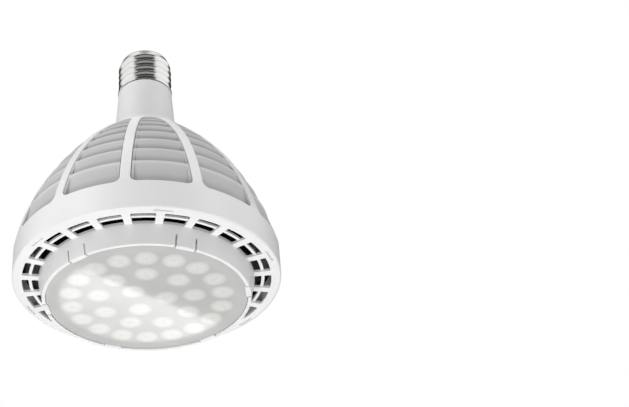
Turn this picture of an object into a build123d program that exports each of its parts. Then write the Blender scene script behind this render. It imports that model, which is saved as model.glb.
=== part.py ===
from build123d import *
import math
import os

os.makedirs("parts", exist_ok=True)

# All sizes are in millimetres. The lamp stands on its lens collar at z = 0, with its
# screw cap at the top. Angles in the plan view are in degrees from +X, and the side
# that is seen first looks towards -Y.
FRONT = -90.0

# Overall size
body_radius = 60.0
overall_height = 143.0

# Clearances
fit_gap = 0.2
running_gap = 0.05
shaft_gap = 0.02
part_gap = 0.6

# Vent ring and lens collar of the front cover
collar_height = 8.8
collar_taper = 1.9
collar_wall = 1.5
rim_width = 4.4
rim_height = 1.2
rim_round = 1.0
outer_slot_width = 3.05
mid_ring_width = 1.3
inner_slot_width = 3.05
mid_ring_recess = 0.9
mid_ring_height = 1.0
vent_face_thickness = 1.3
vent_count = 24
vent_span = 11.2
vent_offset = -1.2
vent_corner = 0.6
skirt_wall = 1.6
skirt_height = 8.0
tongue_count = 6
tongue_width = 9.0
tongue_offset = 21.0
tongue_height = 5.3
slit_width = 0.8
hook_depth = 0.8
release_count = 6
release_offset = 7.0
release_span = 8.0
release_width = 1.1
release_depth = 1.0

# Cage: band, dome, ribs, windows and top collar
cage_wall = 1.6
band_height = 13.8
dome_bulge = 121.0
dome_rise = 66.9
foot_round = 12.0
rib_count = 12
rib_width = 4.5
rib_offset = 21.6
rib_edge_round = 0.4
sill_drop = 1.1
window_head_drop = 5.6
sill_corner = 3.0
head_corner = 2.5
top_collar_wall = 2.8
top_collar_lip = 1.6
top_collar_seat = 1.6
top_collar_round = 0.5

# Louvre liner behind the windows
liner_gap = 0.3
window_gap = 0.3
slat_recess = 0.3
slat_thickness = 0.8
slat_air_gap = 0.4
slat_overlap = 1.2
slat_count = 7
first_slat_rise = 11.8
first_slat_pitch = 9.8
slat_pitch_ratio = 0.95
cheek_width = 1.0
cheek_step = 0.3
liner_rib_thickness = 1.2

# Lens plate and its lenses
lens_recess = 0.6
lens_plate_thickness = 2.0
lens_margin = 10.7
lens_gap = 1.57
lens_web_inner = 5.4
lens_small_end = 4.8
lens_well = 3.2
lens_well_depth = 2.4
lens_count_outer = 18
lens_count_middle = 9
lens_count_inner = 3
lens_inner_offset = -40.0
ledge_width = 1.4
ledge_height = 1.2

# Light-source board, chips and their screws
board_thickness = 1.6
chip_size = 3.5
chip_height = 0.7
chip_window = 2.6
chip_window_height = 0.4
shelf_width = 6.2
shelf_thickness = 1.8
board_screw_count = 3
board_screw_d = 3.0
board_screw_head = 5.2
board_screw_head_height = 1.5
board_screw_grip = 3.4
cover_screw_count = 3
cover_screw_d = 2.5
cover_screw_head = 4.2
cover_screw_head_height = 1.6
cover_screw_grip = 3.2
screw_slot_width = 0.7
screw_slot_depth = 0.6

# Heat sink
sink_base = 4.0
sink_edge_gap = 0.7
fin_count = 24
fin_thickness = 1.4
fin_height = 24.0
fin_eye_radius = 12.0
fan_post_d = 7.0

# Fan
fan_height = 10.0
fan_outer_d = 62.0
fan_wall = 2.4
fan_floor = 1.6
fan_strut_width = 3.0
fan_strut_count = 4
fan_lug_d = 7.0
fan_lug_thickness = 3.0
fan_lug_reach = 4.0
fan_screw_d = 3.0
fan_screw_head = 5.4
fan_screw_head_height = 1.6
fan_screw_grip = 5.0
fan_hub_d = 24.0
fan_hub_wall = 1.0
fan_blade_count = 7
fan_blade_thickness = 1.0
fan_blade_root_pitch = 48.0
fan_blade_tip_pitch = 28.0
fan_tip_gap = 0.6
fan_shaft_d = 3.0
bearing_wall = 1.0
bearing_tube_wall = 1.0
magnet_wall = 1.1
stator_air_gap = 0.5
stator_height = 4.0
stator_pole_count = 4
stator_pole_width = 2.4
stator_shoe_depth = 1.2
stator_shoe_span = 66.0

# Neck, driver bell and cap
bell_radius = 20.5
bell_wall = 1.5
bell_fan_gap = 5.0
bell_dome_gap = 1.6
driver_cover_thickness = 1.6
driver_cover_spigot = 3.0
driver_cover_wall = 1.5
flange_width = 2.4
flange_thickness = 1.6
flange_liner_gap = 0.5
neck_foot_radius = 14.9
neck_top_radius = 13.1
neck_wall = 1.6
neck_top_round = 0.8
spigot_wall = 1.5
cap_height = 25.0
thread_crest_radius = 13.15
thread_depth = 1.02
thread_pitch = 3.629
thread_turns = 4
thread_start = 1.4
shell_wall = 0.4
shell_rim_height = 1.0
shell_rim_flare = 0.25
shell_shoulder_height = 2.6
shell_mouth_radius = 9.8
insulator_height = 3.0
insulator_land = 0.6
contact_radius = 4.8
contact_height = 1.8
contact_stem_radius = 1.6
contact_stem_length = 3.0

# Driver board and the parts on it
driver_board_thickness = 1.6
driver_board_gap = 0.4
driver_board_top_gap = 6.0
solder_gap = 0.1
transformer_core = (16.0, 12.0, 13.0)
transformer_bobbin = (12.0, 13.4, 8.6)
transformer_lift = 7.0
output_can_d = 10.0
output_can_length = 15.0
output_can_x = 9.0
input_can_d = 8.0
input_can_length = 14.0
can_groove = 0.5
choke_outer_d = 10.0
choke_inner_d = 4.4
choke_thickness = 5.0
bridge_size = (8.0, 3.0, 6.0)
transistor_size = (8.6, 3.2, 9.0)
transistor_tab = 3.2
part_spacing = 3.0

# Leads inside the lamp
lead_radius = 0.6
lead_spacing = 1.8
lead_bend = 1.8
lead_hole_gap = 0.7
led_lead_angle = 10.0
fan_lead_radius = 12.0

# Heights worked out from the sizes above
seam_z = collar_height + rim_height
vent_top_z = collar_height + vent_face_thickness
skirt_top_z = seam_z + skirt_height
dome_foot_z = seam_z + band_height
dome_top_z = dome_foot_z + dome_rise
top_collar_z = dome_top_z + top_collar_lip
collar_seat_z = dome_top_z - top_collar_seat
sill_z = dome_foot_z - sill_drop
window_head_z = dome_top_z - window_head_drop
neck_top_z = overall_height - cap_height
sink_base_top_z = vent_top_z + sink_base
fin_top_z = sink_base_top_z + fin_height
fan_top_z = fin_top_z + fan_height
bell_floor_z = fan_top_z + bell_fan_gap

# Radii worked out from the sizes above
slot_outer_r = body_radius - rim_width
mid_ring_outer_r = slot_outer_r - outer_slot_width
mid_ring_inner_r = mid_ring_outer_r - mid_ring_width
collar_root_r = mid_ring_inner_r - inner_slot_width
collar_front_r = collar_root_r - collar_taper
lens_seat_r = collar_front_r - collar_wall
lens_plate_r = lens_seat_r - fit_gap
skirt_r = body_radius - cage_wall - fit_gap
neck_bore_r = neck_foot_radius + fit_gap
top_collar_r = neck_bore_r + top_collar_wall
sink_r = collar_root_r - sink_edge_gap
shelf_inner_r = lens_seat_r - shelf_width + fit_gap
led_board_r = shelf_inner_r - fit_gap
fan_duct_r = fan_outer_d / 2 - fan_wall
fan_screw_ring_r = fan_outer_d / 2 + fan_lug_reach

# The dome's outline is one arc, from the band's top edge to the foot of the top collar
chord_x = top_collar_r - body_radius
chord_z = dome_top_z - dome_foot_z
chord = math.hypot(chord_x, chord_z)
sagitta_arm = math.sqrt(dome_bulge**2 - (chord / 2) ** 2)
dome_centre_r = (body_radius + top_collar_r) / 2 - sagitta_arm * chord_z / chord
dome_centre_z = (dome_foot_z + dome_top_z) / 2 + sagitta_arm * chord_x / chord


def dome_point(depth, angle):
    """Point of the arc that lies depth inside the dome's outer face, at an arc angle."""
    radius = dome_bulge - depth
    x = dome_centre_r + radius * math.cos(math.radians(angle))
    z = dome_centre_z + radius * math.sin(math.radians(angle))
    return (x, z)


def dome_radius(depth, z):
    """Distance from the lamp's axis of the arc at that depth, at height z."""
    rise = z - dome_centre_z
    return dome_centre_r + math.sqrt((dome_bulge - depth) ** 2 - rise**2)


def dome_height(depth, r):
    """Height of the arc at that depth, at distance r from the lamp's axis."""
    run = r - dome_centre_r
    return dome_centre_z + math.sqrt((dome_bulge - depth) ** 2 - run**2)


def dome_angle(depth, z):
    """Arc angle of the arc at that depth, at height z."""
    return math.degrees(math.asin((z - dome_centre_z) / (dome_bulge - depth)))


def dome_arc(depth, z_from, z_to):
    """Stretch of the arc at that depth, between two heights."""
    start = dome_angle(depth, z_from)
    end = dome_angle(depth, z_to)
    middle = (start + end) / 2
    ThreePointArc(dome_point(depth, start), dome_point(depth, middle), dome_point(depth, end))


def plan_point(radius, angle):
    """Plan position of a point, from its distance and angle."""
    turn = math.radians(angle)
    return (radius * math.cos(turn), radius * math.sin(turn))


# Front cover: lens collar, vent face, rim and skirt, turned as one outline
ledge_z = lens_recess + lens_plate_thickness
shelf_z = vent_top_z - shelf_thickness
cover_screw_r = shelf_inner_r + cover_screw_head / 2 + fit_gap


def collar_outer(z):
    """Outer radius of the tapered collar at height z."""
    return collar_front_r + collar_taper * z / collar_height


def arc_band(inner_r, outer_r, span):
    """Lines round a stretch of a flat ring, centred on +X."""
    inner_a = plan_point(inner_r, -span / 2)
    inner_b = plan_point(inner_r, span / 2)
    outer_a = plan_point(outer_r, -span / 2)
    outer_b = plan_point(outer_r, span / 2)
    ThreePointArc(inner_a, (inner_r, 0), inner_b)
    Line(inner_b, outer_b)
    ThreePointArc(outer_b, (outer_r, 0), outer_a)
    Line(outer_a, inner_a)


with BuildSketch() as vent_sector:
    with BuildLine():
        arc_band(collar_root_r, slot_outer_r, vent_span)
    make_face()
    fillet(vent_sector.vertices(), vent_corner)

release_outer_r = body_radius - rim_round - release_width / 2
with BuildSketch() as release_slot:
    with BuildLine():
        arc_band(release_outer_r - release_width, release_outer_r, release_span)
    make_face()

with BuildPart() as front_cover:
    with BuildSketch(Plane.XZ):
        with BuildLine():
            Polyline(
                (lens_seat_r, 0),
                (collar_front_r, 0),
                (collar_root_r, collar_height),
                (body_radius, collar_height),
                (body_radius, seam_z),
                (skirt_r, seam_z),
                (skirt_r, skirt_top_z),
                (skirt_r - skirt_wall, skirt_top_z),
                (skirt_r - skirt_wall, vent_top_z),
                (shelf_inner_r, vent_top_z),
                (shelf_inner_r, shelf_z),
                (collar_outer(shelf_z) - collar_wall, shelf_z),
                (collar_outer(ledge_z) - collar_wall, ledge_z + ledge_height),
                (lens_seat_r - ledge_width, ledge_z + ledge_height),
                (lens_seat_r - ledge_width, ledge_z),
                (lens_seat_r, ledge_z),
                close=True,
            )
        make_face()
    revolve(axis=Axis.Z)
    circles = front_cover.edges().filter_by(GeomType.CIRCLE)
    face_circles = circles.filter_by(lambda e: abs(e.center().Z - collar_height) < 0.01)
    fillet(face_circles.sort_by(SortBy.RADIUS)[-1], rim_round)

    # Vent slots, cut right through between the bars
    with BuildSketch(Plane.XY.offset(collar_height)):
        with PolarLocations(0, vent_count, FRONT + vent_offset):
            add(vent_sector.sketch)
    extrude(amount=vent_face_thickness, mode=Mode.SUBTRACT)

    # Mid ring, set back behind the vent face
    with BuildSketch(Plane.XY.offset(collar_height + mid_ring_recess)):
        Circle(mid_ring_outer_r)
        Circle(mid_ring_inner_r, mode=Mode.SUBTRACT)
    extrude(amount=mid_ring_height)

    # Slits that free the snap tongues, and the hook at each tongue's end
    with BuildSketch():
        with PolarLocations(0, tongue_count, FRONT + tongue_offset):
            with Locations((collar_front_r, tongue_width / 2), (collar_front_r, -tongue_width / 2)):
                Rectangle(4 * collar_wall, slit_width)
    extrude(amount=tongue_height, mode=Mode.SUBTRACT)
    with BuildSketch():
        with PolarLocations(0, tongue_count, FRONT + tongue_offset):
            with Locations((collar_front_r - collar_wall, 0)):
                Rectangle(2 * hook_depth, tongue_width - slit_width)
        Circle(collar_front_r, mode=Mode.INTERSECT)
    extrude(amount=lens_recess)

    # Release slots in the rim
    with BuildSketch(Plane.XY.offset(collar_height)):
        with PolarLocations(0, release_count, FRONT + release_offset):
            add(release_slot.sketch)
    extrude(amount=release_depth, mode=Mode.SUBTRACT)

    # Holes in the shelf for the screws into the heat sink
    with BuildSketch(Plane.XY.offset(shelf_z)):
        with PolarLocations(cover_screw_r, cover_screw_count, FRONT + 180):
            Circle(cover_screw_d / 2 + fit_gap)
    extrude(amount=shelf_thickness, mode=Mode.SUBTRACT)

front_cover.part.label = "front_cover"
export_step(front_cover.part, "parts/front_cover.step")


# Cage: band, dome and top collar turned as one shell, then opened by the windows
window_floor_r = dome_radius(cage_wall, window_head_z) - part_gap
half_pitch = 180.0 / rib_count
window_reach = body_radius / math.cos(math.radians(half_pitch)) + rib_width


def window_block(gap):
    """Space of one window between two ribs, smaller than the window by the gap all round."""
    side = rib_width / 2 + gap
    turn = math.radians(half_pitch)
    with BuildPart() as block:
        with BuildSketch(Plane.XY.offset(sill_z + gap)):
            with BuildLine():
                Polyline(
                    plan_point(side / math.sin(turn), half_pitch),
                    (window_reach, side),
                    plan_point(window_reach, half_pitch),
                )
                mirror(about=Plane((0, 0, 0), z_dir=(-math.sin(turn), math.cos(turn), 0)))
            make_face()
            Circle(window_floor_r, mode=Mode.SUBTRACT)
        extrude(amount=window_head_z - sill_z - 2 * gap)
        flat_edges = block.edges().filter_by(GeomType.LINE)
        sill_edges = flat_edges.group_by(Axis.Z)[0].sort_by(lambda e: -e.length)[0:2]
        fillet(sill_edges, sill_corner - gap)
        flat_edges = block.edges().filter_by(GeomType.LINE)
        head_edges = flat_edges.group_by(Axis.Z)[-1].sort_by(lambda e: -e.length)[0:2]
        fillet(head_edges, head_corner - gap)
    return block.part


def on_window_edge(edge):
    """True for an edge where a window meets the cage's outer face."""
    middle = edge @ 0.5
    radius = math.hypot(middle.X, middle.Y)
    if middle.Z > dome_top_z - rib_edge_round:
        return False
    if radius > body_radius - 0.01:
        return middle.Z > seam_z + rib_edge_round
    reach = math.hypot(radius - dome_centre_r, middle.Z - dome_centre_z)
    return abs(reach - dome_bulge) < 0.03


with BuildPart() as cage_shell:
    with BuildSketch(Plane.XZ):
        with BuildLine():
            Line((body_radius, seam_z), (body_radius, dome_foot_z))
            dome_arc(0, dome_foot_z, dome_top_z)
            seat_r = dome_radius(cage_wall, collar_seat_z)
            Polyline(
                (top_collar_r, dome_top_z),
                (top_collar_r, top_collar_z),
                (neck_bore_r, top_collar_z),
                (neck_bore_r, collar_seat_z),
                (seat_r, collar_seat_z),
            )
            inner_foot_z = dome_height(cage_wall, body_radius - cage_wall)
            dome_arc(cage_wall, collar_seat_z, inner_foot_z)
            Polyline(
                (body_radius - cage_wall, inner_foot_z),
                (body_radius - cage_wall, seam_z),
                (body_radius, seam_z),
            )
        make_face()
    revolve(axis=Axis.Z)
    rings = cage_shell.edges().filter_by(GeomType.CIRCLE)
    fillet(rings.filter_by(lambda e: abs(e.center().Z - dome_foot_z) < 0.01), foot_round)
    rings = cage_shell.edges().filter_by(GeomType.CIRCLE)
    fillet(rings.filter_by(lambda e: abs(e.center().Z - top_collar_z) < 0.01), top_collar_round)
    with PolarLocations(0, rib_count, FRONT + rib_offset):
        add(window_block(0), mode=Mode.SUBTRACT)
    fillet(cage_shell.edges().filter_by(on_window_edge), rib_edge_round)

cage_shell.part.label = "cage_shell"
export_step(cage_shell.part, "parts/cage_shell.step")


# Louvre liner: leaning slats that fill the windows, on a ring below and a crown above
room_depth = cage_wall + liner_gap
slat_foot_depth = slat_recess + slat_thickness + slat_air_gap
liner_back_depth = room_depth + liner_rib_thickness
liner_foot_r = body_radius - room_depth
cheek_depth = slat_recess + cheek_step
flange_r = neck_foot_radius + flange_width
first_slat_angle = dome_angle(slat_recess, dome_foot_z + first_slat_rise)
crown_z = dome_height(room_depth + slat_thickness, flange_r + flange_liner_gap)
crown_angle = dome_angle(room_depth, crown_z)


def slat_edge_angle(index):
    """Arc angle of a slat's top edge; the pitch shrinks by a constant ratio up the dome."""
    if index == slat_count:
        return dome_angle(slat_recess, window_head_z)
    steps = (1 - slat_pitch_ratio**index) / (1 - slat_pitch_ratio)
    return first_slat_angle + math.degrees(first_slat_pitch * steps / dome_bulge)


# Room that the cage takes up, with its clearance: the liner stays out of it
with BuildPart() as cage_room:
    with BuildSketch(Plane.XZ):
        with BuildLine():
            room_foot_z = dome_height(room_depth, liner_foot_r)
            Polyline(
                (dome_radius(room_depth, dome_top_z), dome_top_z),
                (window_reach, dome_top_z),
                (window_reach, collar_height),
                (liner_foot_r, collar_height),
                (liner_foot_r, room_foot_z),
            )
            dome_arc(room_depth, room_foot_z, dome_top_z)
        make_face()
    revolve(axis=Axis.Z)
    with PolarLocations(0, rib_count, FRONT + rib_offset):
        add(window_block(window_gap), mode=Mode.SUBTRACT)

# Ribs behind the cage's ribs, with a cheek on each side that frames the slats
with BuildPart() as liner_ribs:
    with BuildSketch(Plane.XZ):
        with BuildLine():
            cheek_foot_z = dome_height(cheek_depth, body_radius - cheek_depth)
            back_foot_z = dome_height(liner_back_depth, body_radius - liner_back_depth)
            dome_arc(cheek_depth, cheek_foot_z, window_head_z)
            Polyline(
                (dome_radius(cheek_depth, window_head_z), window_head_z),
                (dome_radius(liner_back_depth, window_head_z), window_head_z),
            )
            dome_arc(liner_back_depth, window_head_z, back_foot_z)
            Polyline(
                (body_radius - liner_back_depth, back_foot_z),
                (body_radius - liner_back_depth, skirt_top_z),
                (body_radius - cheek_depth, skirt_top_z),
                (body_radius - cheek_depth, cheek_foot_z),
            )
        make_face()
    revolve(axis=Axis.Z)
    with BuildSketch(Plane.XY.offset(skirt_top_z)):
        with PolarLocations(0, rib_count, FRONT + rib_offset):
            with Locations((body_radius / 2, 0)):
                Rectangle(body_radius, rib_width + 2 * (window_gap + cheek_width))
    extrude(amount=crown_z, mode=Mode.INTERSECT)

with BuildPart() as louvre_liner:
    for index in range(slat_count + 1):
        top_angle = slat_edge_angle(index)
        with BuildSketch(Plane.XZ):
            with BuildLine():
                if index == 0:
                    Polyline(
                        (liner_foot_r - slat_thickness, skirt_top_z),
                        (liner_foot_r, skirt_top_z),
                        (liner_foot_r, sill_z),
                        dome_point(slat_recess, top_angle),
                        dome_point(slat_recess + slat_thickness, top_angle),
                        (liner_foot_r - slat_thickness, sill_z + slat_thickness),
                        close=True,
                    )
                else:
                    lap = math.degrees(slat_overlap / dome_bulge)
                    foot_angle = slat_edge_angle(index - 1) - lap
                    Polyline(
                        dome_point(slat_foot_depth, foot_angle),
                        dome_point(slat_recess, top_angle),
                        dome_point(slat_recess + slat_thickness, top_angle),
                        dome_point(slat_foot_depth + slat_thickness, foot_angle),
                        close=True,
                    )
            make_face()
        revolve(axis=Axis.Z)
    with BuildSketch(Plane.XZ):
        with BuildLine():
            Polyline(
                dome_point(room_depth, slat_edge_angle(slat_count - 1)),
                dome_point(room_depth, crown_angle),
                dome_point(room_depth + slat_thickness, crown_angle),
                dome_point(room_depth + slat_thickness, slat_edge_angle(slat_count - 1)),
                close=True,
            )
        make_face()
    revolve(axis=Axis.Z)
    add(liner_ribs.part)
    add(cage_room.part, mode=Mode.SUBTRACT)

louvre_liner.part.label = "louvre_liner"
export_step(louvre_liner.part, "parts/louvre_liner.step")


# Lens plate: one clear disc with a cone-shaped lens in front of each light source
lens_top_z = vent_top_z - board_thickness - chip_height - chip_window_height - part_gap
outer_ring_r = lens_plate_r - lens_margin
lens_diameter = 2 * outer_ring_r * math.sin(math.pi / lens_count_outer) - lens_gap
inner_ring_r = (lens_diameter + lens_web_inner) / 2 / math.sin(math.pi / lens_count_inner)
middle_ring_r = (outer_ring_r + inner_ring_r) / 2
lens_rings = (
    (outer_ring_r, lens_count_outer, FRONT),
    (middle_ring_r, lens_count_middle, FRONT),
    (inner_ring_r, lens_count_inner, FRONT + lens_inner_offset),
)

with BuildPart() as lens_plate:
    with BuildSketch(Plane.XY.offset(lens_recess)):
        Circle(lens_plate_r)
    extrude(amount=lens_plate_thickness)
    for ring_r, ring_count, ring_start in lens_rings:
        with BuildSketch(Plane.XY.offset(ledge_z)):
            with PolarLocations(ring_r, ring_count, ring_start):
                Circle(lens_diameter / 2)
        lens_rise = lens_top_z - ledge_z
        lens_draft = math.degrees(math.atan((lens_diameter - lens_small_end) / 2 / lens_rise))
        extrude(amount=lens_rise, taper=lens_draft)
        with BuildSketch(Plane.XY.offset(lens_top_z - lens_well_depth)):
            with PolarLocations(ring_r, ring_count, ring_start):
                Circle(lens_well / 2)
        extrude(amount=lens_well_depth, mode=Mode.SUBTRACT)

lens_plate.part.label = "lens_plate"
export_step(lens_plate.part, "parts/lens_plate.step")


# Light-source board, its chips and its screws
led_board_z = vent_top_z - board_thickness
board_screw_r = (outer_ring_r + middle_ring_r) / 2
board_screw_start = FRONT + 180 / lens_count_outer

with BuildPart() as led_board:
    with BuildSketch(Plane.XY.offset(led_board_z)):
        Circle(led_board_r)
        with PolarLocations(board_screw_r, board_screw_count, board_screw_start):
            Circle(board_screw_d / 2 + fit_gap, mode=Mode.SUBTRACT)
    extrude(amount=board_thickness)

led_board.part.label = "led_board"
export_step(led_board.part, "parts/led_board.step")

chip_z = led_board_z - chip_height
with BuildPart() as led_chips:
    for ring_r, ring_count, ring_start in lens_rings:
        with BuildSketch(Plane.XY.offset(chip_z)):
            with PolarLocations(ring_r, ring_count, ring_start):
                Rectangle(chip_size, chip_size)
        extrude(amount=chip_height)
        with BuildSketch(Plane.XY.offset(chip_z - chip_window_height)):
            with PolarLocations(ring_r, ring_count, ring_start):
                Rectangle(chip_window, chip_window)
        extrude(amount=chip_window_height)

led_chips.part.label = "led_chips"
export_step(led_chips.part, "parts/led_chips.step")


def slotted_screw(seat_z, point_z, shank_d, head_d, head_height):
    """Sketches one screw about the Z axis: shank from the seat to the point, head beyond it."""
    way = 1 if point_z > seat_z else -1
    with BuildPart() as screw:
        with BuildSketch(Plane.XZ):
            with BuildLine():
                Polyline(
                    (0, point_z),
                    (shank_d / 2, point_z - way * shank_d / 2),
                    (shank_d / 2, seat_z),
                    (head_d / 2, seat_z),
                    (head_d / 2, seat_z - way * head_height / 2),
                    (head_d / 3, seat_z - way * head_height),
                    (0, seat_z - way * head_height),
                    close=True,
                )
            make_face()
        revolve(axis=Axis.Z)
        with BuildSketch(Plane.XY.offset(seat_z - way * head_height)):
            Rectangle(head_d, screw_slot_width)
            Rectangle(screw_slot_width, head_d)
        extrude(amount=way * screw_slot_depth, mode=Mode.SUBTRACT)
    return screw.part


board_screw = slotted_screw(
    led_board_z, led_board_z + board_thickness + board_screw_grip,
    board_screw_d, board_screw_head, board_screw_head_height,
)
with BuildPart() as board_screws:
    with PolarLocations(board_screw_r, board_screw_count, board_screw_start):
        add(board_screw)

board_screws.part.label = "board_screws"
export_step(board_screws.part, "parts/board_screws.step")

cover_screw = slotted_screw(
    shelf_z, vent_top_z + cover_screw_grip,
    cover_screw_d, cover_screw_head, cover_screw_head_height,
)
with BuildPart() as cover_screws:
    with PolarLocations(cover_screw_r, cover_screw_count, FRONT + 180):
        add(cover_screw)

cover_screws.part.label = "cover_screws"
export_step(cover_screws.part, "parts/cover_screws.step")


# Heat sink: base plate, radial fins and four posts that carry the fan
fan_post_start = 45.0
led_lead_hole_r = lead_spacing / 2 + lead_radius + lead_hole_gap
led_lead_r = fan_outer_d / 2 + led_lead_hole_r + lead_hole_gap

with BuildPart() as heat_sink:
    with BuildSketch(Plane.XY.offset(vent_top_z)):
        Circle(sink_r)
        with Locations(plan_point(led_lead_r, FRONT + led_lead_angle)):
            Circle(led_lead_hole_r, mode=Mode.SUBTRACT)
    extrude(amount=sink_base)
    with BuildSketch(Plane.XY.offset(sink_base_top_z)):
        with PolarLocations(0, fin_count, FRONT + led_lead_angle + 180 / fin_count):
            with Locations(((sink_r + fin_eye_radius) / 2, 0)):
                Rectangle(sink_r - fin_eye_radius, fin_thickness)
        Circle(sink_r - fit_gap, mode=Mode.INTERSECT)
        with PolarLocations(fan_screw_ring_r, 4, fan_post_start):
            Circle(fan_post_d / 2)
    extrude(amount=fin_height)
    with BuildSketch(Plane.XY.offset(vent_top_z)):
        with PolarLocations(board_screw_r, board_screw_count, board_screw_start):
            Circle(board_screw_d / 2 + running_gap)
    extrude(amount=board_screw_grip + running_gap, mode=Mode.SUBTRACT)
    with BuildSketch(Plane.XY.offset(vent_top_z)):
        with PolarLocations(cover_screw_r, cover_screw_count, FRONT + 180):
            Circle(cover_screw_d / 2 + running_gap)
    extrude(amount=cover_screw_grip + running_gap, mode=Mode.SUBTRACT)
    with BuildSketch(Plane.XY.offset(fin_top_z)):
        with PolarLocations(fan_screw_ring_r, 4, fan_post_start):
            Circle(fan_screw_d / 2 + running_gap)
    extrude(amount=-(fan_screw_grip + running_gap), mode=Mode.SUBTRACT)

heat_sink.part.label = "heat_sink"
export_step(heat_sink.part, "parts/heat_sink.step")


# Fan: frame with struts, lugs and bearing tube
bearing_bore_r = fan_shaft_d / 2 + running_gap
bearing_outer_r = bearing_bore_r + bearing_wall
bearing_tube_r = bearing_outer_r + bearing_tube_wall
fan_hub_r = fan_hub_d / 2
cup_inner_r = fan_hub_r - fan_hub_wall
magnet_outer_r = cup_inner_r - running_gap
magnet_inner_r = magnet_outer_r - magnet_wall
stator_r = magnet_inner_r - stator_air_gap
blade_tip_r = fan_duct_r - fan_tip_gap
rotor_low_z = fin_top_z + fan_floor + part_gap
rotor_top_z = fan_top_z - part_gap
cup_roof_z = rotor_top_z - fan_hub_wall
bearing_top_z = cup_roof_z - fan_hub_wall - part_gap
bearing_low_z = fin_top_z + fan_floor / 2

with BuildPart() as fan_frame:
    with BuildSketch(Plane.XY.offset(fin_top_z)):
        Circle(fan_outer_d / 2)
        with PolarLocations(fan_screw_ring_r / 2, 4, fan_post_start):
            Rectangle(fan_screw_ring_r, fan_lug_d)
        with PolarLocations(fan_screw_ring_r, 4, fan_post_start):
            Circle(fan_lug_d / 2)
        with PolarLocations(fan_screw_ring_r, 4, fan_post_start):
            Circle(fan_screw_d / 2 + fit_gap, mode=Mode.SUBTRACT)
        Circle(fan_duct_r, mode=Mode.SUBTRACT)
    extrude(amount=fan_lug_thickness)
    with BuildSketch(Plane.XY.offset(fin_top_z)):
        Circle(fan_outer_d / 2)
        Circle(fan_duct_r, mode=Mode.SUBTRACT)
    extrude(amount=fan_height)
    with BuildSketch(Plane.XY.offset(fin_top_z)):
        Circle(fan_hub_r - fan_hub_wall)
        with PolarLocations((fan_duct_r + fan_wall / 2) / 2, fan_strut_count, 0):
            Rectangle(fan_duct_r + fan_wall / 2, fan_strut_width)
    extrude(amount=fan_floor)
    with BuildSketch(Plane.XY.offset(fin_top_z)):
        Circle(bearing_tube_r)
    extrude(amount=bearing_top_z - part_gap - fin_top_z)
    with BuildSketch(Plane.XY.offset(bearing_low_z)):
        Circle(bearing_outer_r)
    extrude(amount=fan_height, mode=Mode.SUBTRACT)

fan_frame.part.label = "fan_frame"
export_step(fan_frame.part, "parts/fan_frame.step")

with BuildPart() as fan_bearing:
    with BuildSketch(Plane.XY.offset(bearing_low_z)):
        Circle(bearing_outer_r - shaft_gap)
        Circle(bearing_bore_r, mode=Mode.SUBTRACT)
    extrude(amount=bearing_top_z - bearing_low_z)

fan_bearing.part.label = "fan_bearing"
export_step(fan_bearing.part, "parts/fan_bearing.step")

stator_z = fin_top_z + fan_floor
with BuildSketch() as pole_shoe:
    with BuildLine():
        arc_band(stator_r - stator_shoe_depth, stator_r, stator_shoe_span)
    make_face()

with BuildPart() as fan_stator:
    with BuildSketch(Plane.XY.offset(stator_z)):
        Circle(bearing_tube_r + shaft_gap + stator_shoe_depth)
        with PolarLocations(stator_r / 2, stator_pole_count, 0):
            Rectangle(stator_r - stator_shoe_depth / 2, stator_pole_width)
        with PolarLocations(0, stator_pole_count, 0):
            add(pole_shoe.sketch)
        Circle(bearing_tube_r + shaft_gap, mode=Mode.SUBTRACT)
    extrude(amount=stator_height)

fan_stator.part.label = "fan_stator"
export_step(fan_stator.part, "parts/fan_stator.step")

# Fan: hub cup with twisted blades, its magnet and its shaft
hub_boss_r = fan_shaft_d / 2 + shaft_gap + bearing_wall
blade_height = rotor_top_z - rotor_low_z
blade_root_r = fan_hub_r - fan_hub_wall / 2


def blade_section(distance, pitch):
    """Slanted section of a blade, on a plane that faces along +X."""
    length = blade_height / math.sin(math.radians(pitch)) - fan_blade_thickness
    plane = Plane(
        origin=(distance, 0, (rotor_low_z + rotor_top_z) / 2), x_dir=(0, 1, 0), z_dir=(1, 0, 0)
    )
    with BuildSketch(plane) as section:
        SlotOverall(length, fan_blade_thickness, rotation=pitch)
    return section.sketch


with BuildPart() as fan_blade:
    add(blade_section(blade_root_r, fan_blade_root_pitch))
    add(blade_section(blade_tip_r + fan_tip_gap, fan_blade_tip_pitch))
    loft()
    with BuildSketch(Plane.XY.offset(rotor_low_z)):
        Circle(blade_tip_r)
    extrude(amount=blade_height, mode=Mode.INTERSECT)

with BuildPart() as fan_rotor:
    with BuildSketch(Plane.XY.offset(rotor_low_z)):
        Circle(fan_hub_r)
        Circle(cup_inner_r, mode=Mode.SUBTRACT)
    extrude(amount=cup_roof_z - rotor_low_z)
    with BuildSketch(Plane.XY.offset(cup_roof_z)):
        Circle(fan_hub_r)
    extrude(amount=rotor_top_z - cup_roof_z)
    with BuildSketch(Plane.XY.offset(bearing_top_z + part_gap)):
        Circle(hub_boss_r)
    extrude(amount=cup_roof_z - bearing_top_z - part_gap)
    with PolarLocations(0, fan_blade_count, 0):
        add(fan_blade.part)
    with BuildSketch(Plane.XY.offset(rotor_low_z)):
        Circle(cup_inner_r)
    extrude(amount=bearing_top_z + part_gap - rotor_low_z, mode=Mode.SUBTRACT)
    with BuildSketch(Plane.XY.offset(bearing_top_z)):
        Circle(fan_shaft_d / 2 + shaft_gap)
    extrude(amount=cup_roof_z - bearing_top_z, mode=Mode.SUBTRACT)

fan_rotor.part.label = "fan_rotor"
export_step(fan_rotor.part, "parts/fan_rotor.step")

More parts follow.
